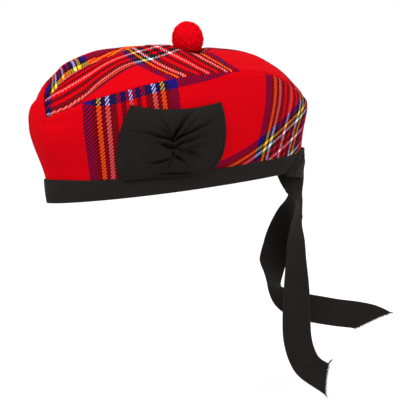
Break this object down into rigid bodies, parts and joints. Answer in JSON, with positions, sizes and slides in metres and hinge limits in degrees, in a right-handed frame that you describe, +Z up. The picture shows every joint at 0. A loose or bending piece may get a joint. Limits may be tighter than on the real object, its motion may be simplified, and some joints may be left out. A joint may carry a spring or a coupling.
{
  "type": "glengarry",
  "caption": "Folding wool cap with a tartan crown, black tape headband, pinched side rosette, felt toorie and two tape tails that hang at the back.",
  "frame": {"origin": "centre of the head opening, in the plane of the headband's lower edge", "axes": "+Z up through the crown, -X towards the wearer's front, -Y towards the wearer's left, where the rosette is"},
  "size_m": [0.3434, 0.1446, 0.3676],
  "materials": {
    "tartan_wool": "milled wool twill, matte",
    "toorie_wool": "felted wool, matte",
    "black_tape": "woven tape, matte"
  },
  "bodies": {
    "root": {"side_left": "tartan_wool", "side_right": "tartan_wool", "top_panel": "tartan_wool", "headband": "black_tape", "rosette": "black_tape", "toorie": "toorie_wool", "tail_fold": "black_tape", "tail_long": "black_tape", "tail_curled": "black_tape"}
  },
  "joints": []
}
